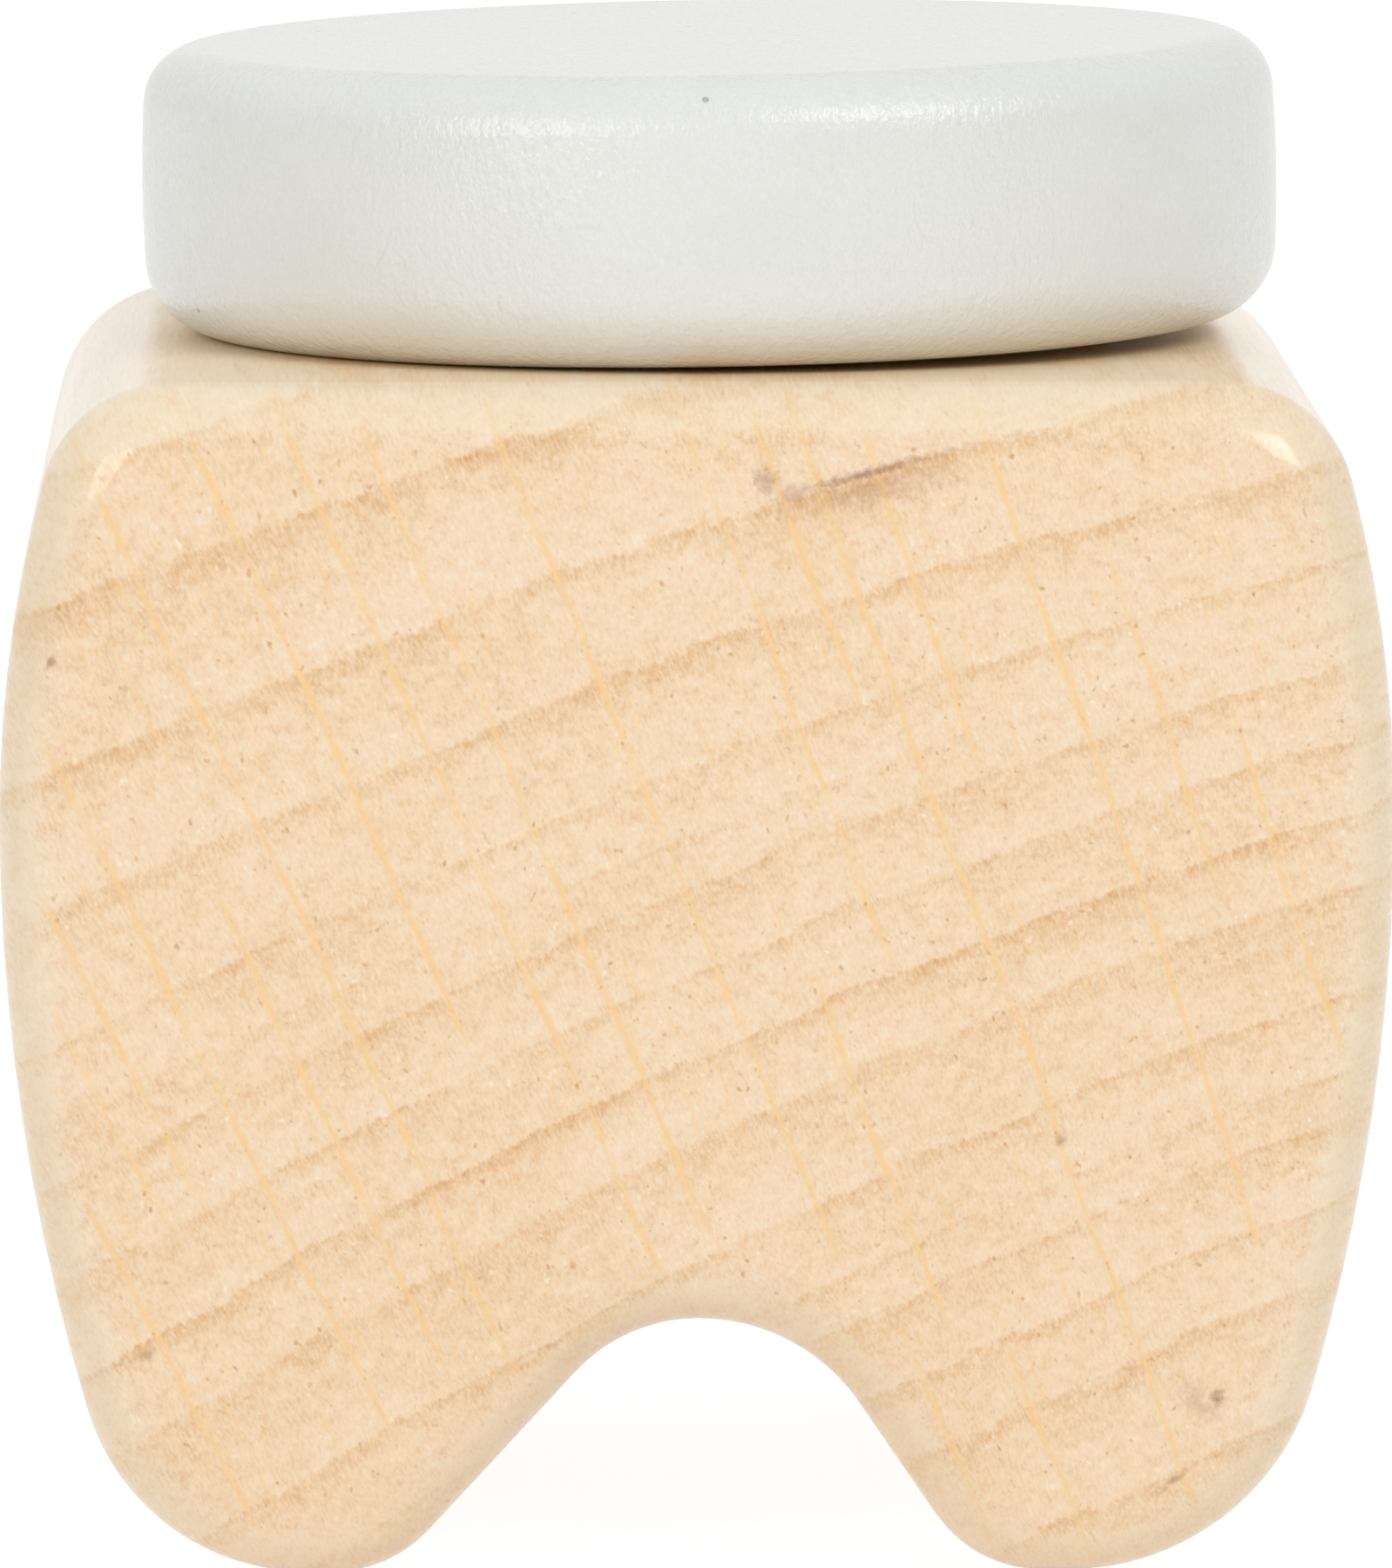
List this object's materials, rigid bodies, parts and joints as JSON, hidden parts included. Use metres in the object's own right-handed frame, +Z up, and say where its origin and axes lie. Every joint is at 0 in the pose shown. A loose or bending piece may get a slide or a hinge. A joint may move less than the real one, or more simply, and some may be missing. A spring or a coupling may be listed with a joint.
{
  "type": "baby tooth box",
  "caption": "Tooth-shaped wooden keepsake box for milk teeth: a rounded block with two roots and a bored hollow, closed by a thick round painted lid with a push-in plug.",
  "frame": {"origin": "under the middle of the tooth block, on the surface it stands on", "axes": "+Z up through the lid, -Y towards the front face, +X to the viewer's right"},
  "size_m": [0.05, 0.0494, 0.0541],
  "materials": {
    "tooth_wood": "pale hardwood, end grain to the front, clear satin lacquer",
    "lid_paint": "turned wood under pale warm grey satin paint",
    "plug_wood": "bare sanded pale hardwood",
    "seal_rubber": "matt dark rubber"
  },
  "bodies": {
    "tooth": {"tooth_body": "tooth_wood"},
    "ring": {"seal_ring": "seal_rubber"},
    "lid": {"lid_disc": "lid_paint", "lid_plug": "plug_wood"}
  },
  "joints": [
    {"name": "lid_lift", "type": "slide", "parent": "tooth", "child": "ring", "axis": [0, 0, 1], "range_m": [0, 0.03]},
    {"name": "lid_turn", "type": "hinge", "parent": "ring", "child": "lid", "pos_m": [0.001, 0, 0.03975], "axis": [-0.0166, -0.0077, 0.9998], "continuous": true}
  ]
}
